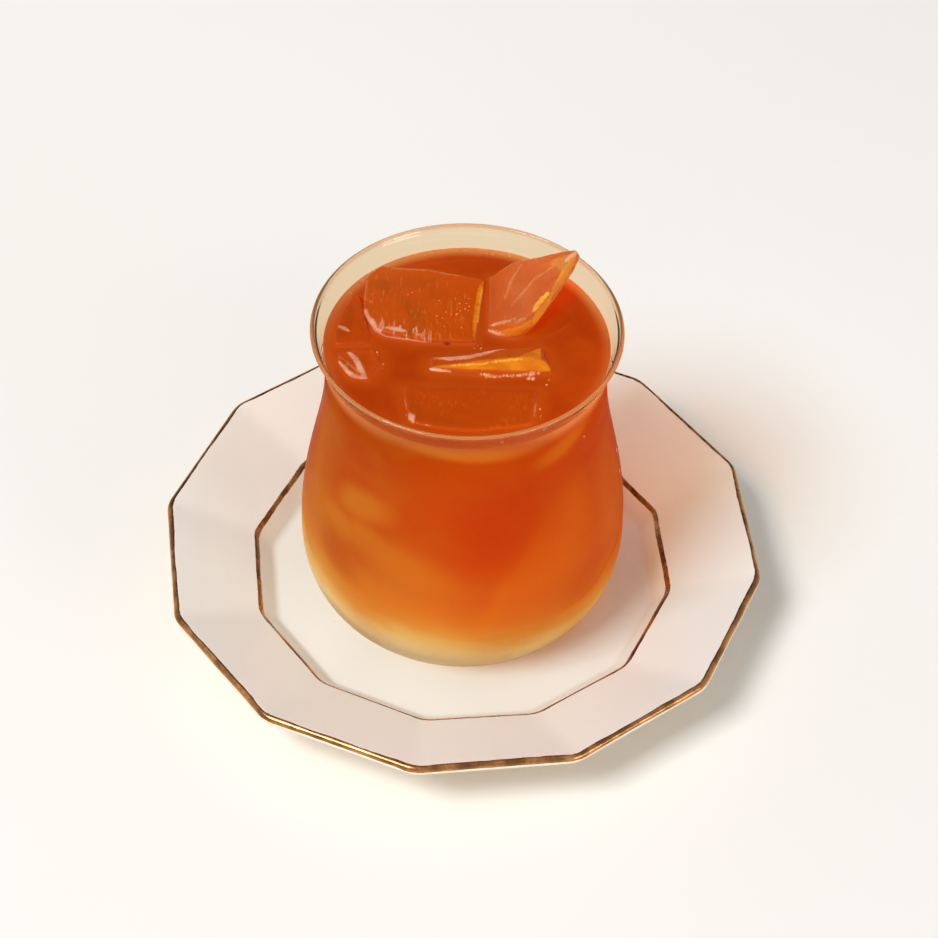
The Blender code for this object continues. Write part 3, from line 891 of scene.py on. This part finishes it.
def wet_ice(name, haze, grain, stain):
    """Ice stained by the tea: wet and half clear, with fine bubbles drawn out in lines, and painted highlights: pale
    glints and golden light let through its edges.
    """
    finish = Finish(name)
    x, y, z = finish.split()
    raised = finish.range(z, 88.6 * MM, 98 * MM)
    stained = finish.blend(raised, stain, (0.84, 0.47, 0.14))
    deep = finish.blend(raised, tuple(c * 0.94 for c in stain), (0.76, 0.36, 0.09))
    colour = finish.blend(finish.range(finish.noise(6.5, detail=2), 0.36, 0.66), stained, deep)
    lines = finish.range(finish.noise(0.75, detail=3, stretch=grain), 0.54, 0.74)
    patches = finish.range(finish.noise(8, detail=1), 0.40, 0.62)
    frosted = finish.math("MULTIPLY", finish.math("MULTIPLY", lines, patches), haze)
    colour = finish.blend(frosted, colour, (0.72, 0.25, 0.05))
    clear = finish.math("SUBTRACT", finish.range(raised, 0.0, 1.0, 0.50, 0.84), finish.math("MULTIPLY", frosted, 0.4))
    sunk = finish.range(z, (TEA_LEVEL + 0.15) * MM, (TEA_LEVEL + 0.9) * MM, 0.78, 0.0)
    colour = finish.blend(sunk, colour, (0.47, 0.055, 0.0014))
    clear = finish.math("MULTIPLY", clear, finish.math("SUBTRACT", 1.0, sunk))
    # Painted highlights: pale glints, faint light lines, and golden and straw-coloured light let through the ice's
    # edges
    highlights = {
        "gold": ((0.70, 0.225, 0.007), 0.90),
        "straw": ((0.90, 0.47, 0.05), 0.90),
        "faint": ((0.68, 0.27, 0.11), 0.55),
        "pale": ((0.74, 0.37, 0.24), 0.95),
    }
    uneven = finish.range(finish.noise(2.4, detail=3, stretch=(3, 1, 1)), 0.30, 0.62, 0.55, 1.0)
    for highlight, (tone, strength) in highlights.items():
        share = finish.math("MULTIPLY", finish.painted(highlight), finish.math("MULTIPLY", uneven, strength))
        colour = finish.blend(share, colour, tone)
        clear = finish.math("MULTIPLY", clear, finish.math("SUBTRACT", 1.0, share))
    finish.feed("Base Color", colour)
    finish.feed("Transmission Weight", clear)
    finish.feed("Roughness", finish.range(finish.noise(3), 0.35, 0.7, 0.05, 0.16))
    finish.values(IOR=1.31, Specular_Tint=(0.55, 0.52, 0.48, 1.0))
    coarse = finish.bump(finish.noise(4.5, detail=2), 0.30, 0.25)
    finish.bump(finish.noise(0.9, detail=2, stretch=grain), 0.05, 0.35, after=coarse)
    finish.light_passes((0.90, 0.60, 0.36))
    return finish.material


def distance_along(line, place):
    """How far a place lies from an open line, and how far along the line that is, from 0 to 1."""
    nearest, along_it = 1000.0, 0.0
    count = len(line) - 1
    for number, (a, b) in enumerate(zip(line, line[1:])):
        along = b - a
        share = min(max((place - a).dot(along) / along.length_squared, 0.0), 1.0)
        away = (place - (a + along * share)).length
        if away < nearest:
            nearest, along_it = away, (number + share) / count
    return nearest, along_it


def highlight_strength(kind, width, line, outline, place):
    """How strongly a painted highlight covers a place, from 0 to 1."""
    if kind == "gold_face":
        return 1 - smoothstep(distance_to(outline, place.xy), -0.25, 0.35)
    away, along = distance_along(line, place)
    if kind == "comb":
        tooth = noise.noise(Vector((place.x * 1.9, place.y * 0.10, 3.0)))
        length = width * (0.30 + 1.4 * abs(noise.noise(Vector((place.x * 1.3, 0.0, 8.0)))))
        return (1 - smoothstep(away, length * 0.4, length * 0.8)) * smoothstep(tooth, -0.10, 0.08)
    half = width / 2 * (0.40 + 0.60 * math.sin(math.pi * along) ** 0.6)
    ragged = noise.noise(place * 1.6) * 0.24
    return 1 - smoothstep(away + ragged, half - 0.10, half + 0.26)


def paint_ice_highlights(mesh, name):
    """Paints the ice's highlights, pale glints and golden light let through its edges, and raises each a little."""
    layers = {kind: [0.0] * len(mesh.vertices) for kind in ("pale", "gold", "straw", "faint")}
    layer_of = {"gold_face": "gold", "comb": "pale"}
    highlights = []
    for kind, width, line in PAINTED_ICE_HIGHLIGHTS[name]:
        line = [Vector(point) for point in line]
        centre = sum(line, Vector()) / len(line)
        reach = max((point - centre).length for point in line) + width + 1
        highlights.append((kind, width, line, [point.xy for point in line], centre, reach))
    raised = []
    for index, vertex in enumerate(mesh.vertices):
        place = vertex.co / MM
        if place.z < TEA_LEVEL - 1.0:
            continue
        lift = 0.0
        for kind, width, line, outline, centre, reach in highlights:
            if (place - centre).length > reach:
                continue
            strength = highlight_strength(kind, width, line, outline, place)
            layer = layers[layer_of.get(kind, kind)]
            layer[index] = max(layer[index], strength)
            lift = max(lift, strength * HIGHLIGHT_LIFT[kind])
        if lift > 0:
            raised.append((index, vertex.co + vertex.normal * lift * MM))
    for index, place in raised:
        mesh.vertices[index].co = place
    for kind, values in layers.items():
        mesh.attributes.new(kind, "FLOAT", "POINT").data.foreach_set("value", values)


# How far the ice is raised under each kind of painted highlight, in mm
HIGHLIGHT_LIFT = {"pale": 0.16, "comb": 0.12, "gold": 0.05, "gold_face": 0.0, "straw": 0.12, "faint": 0.05}
GROWN_BY = 0.22  # the smoothing of the edges shrinks the ice, and this gives it back, in mm


def make_ice():
    looks = {
        "ice_block_back": (0.50, (1, 5.0, 5.0), (0.66, 0.125, 0.006), 0.26),
        "ice_shard": (0.25, (1, 6.0, 1), (0.70, 0.150, 0.010), 0.24),
        "ice_wedge_middle": (0.30, (4, 1, 1), (0.64, 0.115, 0.006), 0.24),
        "ice_block_front": (0.30, (1, 3.0, 3.0), (0.58, 0.090, 0.004), 0.30),
        "ice_chip_left": (0.25, (1, 2.0, 1), (0.60, 0.100, 0.005), 0.24),
        "ice_block_left": (0.25, (1, 2.0, 1), (0.58, 0.095, 0.005), 0.24),
    }
    for name, (haze, grain, stain, voxel) in looks.items():
        bm = bmesh.new()
        bm.from_mesh(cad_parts[name].data)
        bmesh.ops.remove_doubles(bm, verts=bm.verts, dist=0.00001)
        piece = add_piece(name + "_wet", bm, wet_ice(name + "_finish", haze, grain, stain), smooth_angle=180)
        remesh = piece.modifiers.new("Even mesh", "REMESH")
        remesh.mode = "VOXEL"
        remesh.voxel_size = voxel * MM
        remesh.use_smooth_shade = True
        soften = piece.modifiers.new("Melted edges", "SMOOTH")
        soften.factor = 0.5
        soften.iterations = 5
        graph = bpy.context.evaluated_depsgraph_get()
        mesh = bpy.data.meshes.new_from_object(piece.evaluated_get(graph))
        piece.modifiers.clear()
        piece.data = mesh
        melted = []
        for vertex in mesh.vertices:
            place = vertex.co / MM
            swell = noise.noise(place / 6.5) * 0.20 + noise.noise(place / 2.1 + Vector((7, 1, 3))) * 0.05
            melted.append(vertex.co + vertex.normal * (GROWN_BY + swell) * MM)
        for vertex, place in zip(mesh.vertices, melted):
            vertex.co = place
        paint_ice_highlights(mesh, name)
        mesh.shade_smooth()
        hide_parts(name)


# ---- Bubbles and drops ----

def add_bead(bm, centre, size, turned=None):
    """A round or drawn-out bead at a place, both in mm."""
    matrix = Matrix.Translation(Vector(centre) * MM)
    if turned:
        matrix = matrix @ turned
    matrix = matrix @ Matrix.Diagonal((size[0] * MM, size[1] * MM, size[2] * MM, 1.0))
    bmesh.ops.create_icosphere(bm, subdivisions=2, radius=1.0, matrix=matrix)


def bubble_skin():
    finish = Finish("bubble_skin")
    finish.feed("Base Color", finish.blend(finish.range(finish.noise(2.2), 0.4, 0.6), (0.84, 0.44, 0.24),
                                           (0.70, 0.24, 0.08)))
    finish.values(Transmission_Weight=0.35, Roughness=0.08, IOR=1.33)
    finish.light_passes((0.90, 0.60, 0.36))
    return finish.material


def make_bubbles():
    """Fine bubbles on the tea: a row along the wedge, clusters by the ice, and froth at the wall."""
    rng = random.Random(41)
    bm = bmesh.new()
    row = [Vector(point) for point in BUBBLE_ROW]
    for a, b in zip(row, row[1:]):
        for step in range(3):
            spot = a.lerp(b, (step + rng.uniform(-0.2, 0.2)) / 3)
            size = rng.uniform(0.40, 0.60)
            add_bead(bm, (spot.x, spot.y + rng.uniform(-0.2, 0.2), TEA_LEVEL + 0.10), (size, size, size))
    # Each cluster: how many, its corners and the size of its bubbles, in mm
    clusters = [
        (10, (4.6, -11.2), (7.0, -10.1), 0.55), (7, (15.2, -11.6), (16.8, -9.8), 0.60),
        (14, (-25.0, -6.4), (-21.8, -3.2), 0.38), (5, (-22.0, -10.0), (-20.2, -7.0), 0.26),
        (6, (-30.4, 12.0), (-28.2, 15.4), 0.22),
        (6, (1.6, -2.0), (4.0, 0.6), 0.22), (5, (16.5, -25.4), (18.6, -21.0), 0.26),
        (4, (-14.6, -27.4), (-11.6, -24.8), 0.32), (6, (14.0, -3.4), (19.0, -1.4), 0.18),
    ]
    for count, low, high, largest in clusters:
        for number in range(count):
            size = rng.uniform(0.45, 1.0) * largest
            add_bead(bm, (rng.uniform(low[0], high[0]), rng.uniform(low[1], high[1]), TEA_LEVEL + 0.12), (size,) * 3)
    singles = [(-1.9, 10.1), (-2.9, 8.6), (-14.1, 16.5), (-15.1, 15.7), (-7.6, 8.0), (-5.4, 9.6)]
    singles += [(-24.4 + rng.uniform(-0.9, 0.9), rng.uniform(12, 25)) for number in range(9)]
    singles += [(rng.uniform(-8, 0.5), rng.uniform(4, 15)) for number in range(16)]
    for spot in singles:
        size = rng.uniform(0.12, 0.24)
        add_bead(bm, (spot[0], spot[1], ICE_TOP + rng.uniform(-0.15, 0.1)), (size,) * 3)
    for spot in ((7.8, -26.2), (20.3, -11.5), (18.2, -21.7), (19.7, -13.2), (-6.0, -24.5), (-34.2, 9.4)):
        size = rng.uniform(0.24, 0.36)
        add_bead(bm, (spot[0], spot[1], TEA_LEVEL + 0.15), (size,) * 3)
    wall = radius_inside(TEA_LEVEL)
    for number in range(54):
        angle = math.radians(rng.uniform(122, 152) if number < 30 else rng.uniform(60, 110))
        reach = wall - abs(rng.gauss(0.0, 0.5)) - 0.35
        size = rng.uniform(0.10, 0.24)
        add_bead(bm, (reach * math.cos(angle), reach * math.sin(angle), TEA_LEVEL + 0.2), (size,) * 3)
    bubbles = add_piece("surface_bubbles", bm, bubble_skin(), smooth_angle=180)


ICE_TOP = 90.0
BUBBLE_ROW = [(3.7, -10.1), (5.9, -10.7), (8.3, -10.6), (10.8, -10.5), (13.2, -10.1), (15.7, -9.6), (18.6, -9.3)]

# Drops on the outside of the glass: place, width and length, in mm
GLASS_DROPS = [
    ((9.1, -36.7, 91.4), 0.40, 0.40), ((23.8, -27.5, 87.2), 0.46, 0.5), ((19.2, -33.1, 92.3), 0.34, 0.34),
    ((18.6, -30.0, 76.8), 0.36, 0.36), ((-32.8, -14.5, 66.5), 0.26, 2.2), ((-32.7, -16.6, 62.0), 0.22, 1.2),
    ((-26.6, -27.6, 55.6), 0.28, 1.3), ((-34.5, -21.8, 40.0), 0.26, 1.7), ((-38.0, -10.8, 48.6), 0.24, 1.5),
    ((-37.9, -14.8, 41.8), 0.26, 1.0), ((38.9, -1.1, 53.8), 0.30, 1.6), ((39.9, -2.5, 48.0), 0.26, 1.3),
    ((-31.3, -23.0, 52.5), 0.20, 0.8), ((29.3, -19.8, 76.9), 0.22, 0.5), ((-7.9, -34.5, 72.7), 0.16, 0.3),
]


SAUCER_DROP = (44.6, 60.0, 16.6)


def water_drop():
    finish = Finish("water_drop")
    finish.feed("Base Color", finish.blend(finish.noise(5), (0.99, 0.97, 0.94), (0.95, 0.92, 0.88)))
    finish.values(Transmission_Weight=1.0, Roughness=0.0, IOR=1.33)
    finish.light_passes((0.97, 0.95, 0.92))
    return finish.material


def make_drops():
    """Beads and short runs of water on the glass, and one drop on the saucer."""
    bm = bmesh.new()
    for place, width, length in GLASS_DROPS:
        outwards = Vector((place[0], place[1], 0.0)).normalized()
        turned = outwards.to_track_quat("X", "Z").to_matrix().to_4x4()
        add_bead(bm, place, (0.22, width, length), turned)
    add_bead(bm, SAUCER_DROP, (0.9, 0.7, 0.35))
    drops = add_piece("water_drops", bm, water_drop(), smooth_angle=180)


# ---- Studio ----

def make_camera():
    right = Vector((1, 0, 0))
    up = Vector((0, 0.716239, 0.697855))
    camera_x = right * math.cos(CAMERA_ROLL) + up * math.sin(CAMERA_ROLL)
    camera_y = -right * math.sin(CAMERA_ROLL) + up * math.cos(CAMERA_ROLL)
    turned = Matrix((camera_x, camera_y, -CAMERA_FORWARD)).transposed().to_4x4()
    data = bpy.data.cameras.new("camera")
    data.lens = CAMERA_LENS
    data.sensor_width = 36.0
    data.clip_start = 0.01
    camera = bpy.data.objects.new("camera", data)
    camera.matrix_world = Matrix.Translation(CAMERA_PLACE) @ turned
    bpy.context.scene.collection.objects.link(camera)
    bpy.context.scene.camera = camera


def add_softbox(name, place, aim, width, height, watts, colour):
    data = bpy.data.lights.new(name, "AREA")
    data.shape = "RECTANGLE"
    data.size = width
    data.size_y = height
    data.energy = watts
    data.color = colour
    lamp = bpy.data.objects.new(name, data)
    direction = Vector(aim) - Vector(place)
    lamp.matrix_world = Matrix.Translation(place) @ direction.to_track_quat("-Z", "Y").to_matrix().to_4x4()
    bpy.context.scene.collection.objects.link(lamp)
    return lamp


def make_world():
    """Pale all round and dimmer behind the glass, so that the surface of the tea stays deep."""
    world = bpy.data.worlds.new("studio")
    world.use_nodes = True
    bpy.context.scene.world = world
    nodes, links = world.node_tree.nodes, world.node_tree.links
    background = nodes["Background"]
    place = nodes.new("ShaderNodeTexCoord").outputs["Generated"]
    facing = nodes.new("ShaderNodeVectorMath")
    facing.operation = "DOT_PRODUCT"
    facing.inputs[1].default_value = (0.0, 0.80, 0.60)
    links.new(place, facing.inputs[0])
    ramp = nodes.new("ShaderNodeValToRGB")
    ramp.color_ramp.elements[0].position = 0.84
    ramp.color_ramp.elements[0].color = (0.80, 0.79, 0.775, 1)
    ramp.color_ramp.elements[1].position = 0.97
    ramp.color_ramp.elements[1].color = (0.25, 0.155, 0.085, 1)
    links.new(facing.outputs["Value"], ramp.inputs["Fac"])
    links.new(ramp.outputs["Color"], background.inputs["Color"])
    background.inputs["Strength"].default_value = 0.55


def make_floor():
    bm = bmesh.new()
    bmesh.ops.create_grid(bm, x_segments=8, y_segments=8, size=4.0)
    finish = Finish("studio_floor")
    finish.feed("Base Color", finish.blend(finish.range(finish.noise(400), 0.3, 0.7), FLOOR_COLOUR,
                                           tuple(c * 0.985 for c in FLOOR_COLOUR)))
    finish.values(Roughness=0.9, Specular_IOR_Level=0.1)
    table = finish.nodes.new("ShaderNodeBsdfDiffuse")
    table.inputs["Color"].default_value = (*TABLE_COLOUR, 1.0)
    rays = finish.nodes.new("ShaderNodeLightPath")
    choose = finish.nodes.new("ShaderNodeMixShader")
    finish.join(rays.outputs["Is Camera Ray"], choose.inputs[0])
    finish.join(table.outputs[0], choose.inputs[1])
    finish.join(finish.surface, choose.inputs[2])
    finish.join(choose.outputs[0], finish.output.inputs["Surface"])
    floor = add_piece("studio_floor", bm, finish.material)
    floor.parent = None


def make_studio():
    make_floor()
    make_world()
    add_softbox("key", (-1.45, -1.11, 2.38), (0, 0, 0.03), 1.20, 1.00, 68.0, (1.0, 0.98, 0.940))
    add_softbox("fill", (2.4, -2.2, 0.50), (0, 0, 0.05), 1.6, 0.9, 40.0, (1.0, 0.95, 0.88))
    bpy.context.scene.view_settings.view_transform = "Standard"


make_camera()
make_studio()
make_saucer()
make_gold_lines()
make_glass()
make_drink()
make_ice()
make_bubbles()
make_drops()

bpy.context.view_layer.update()
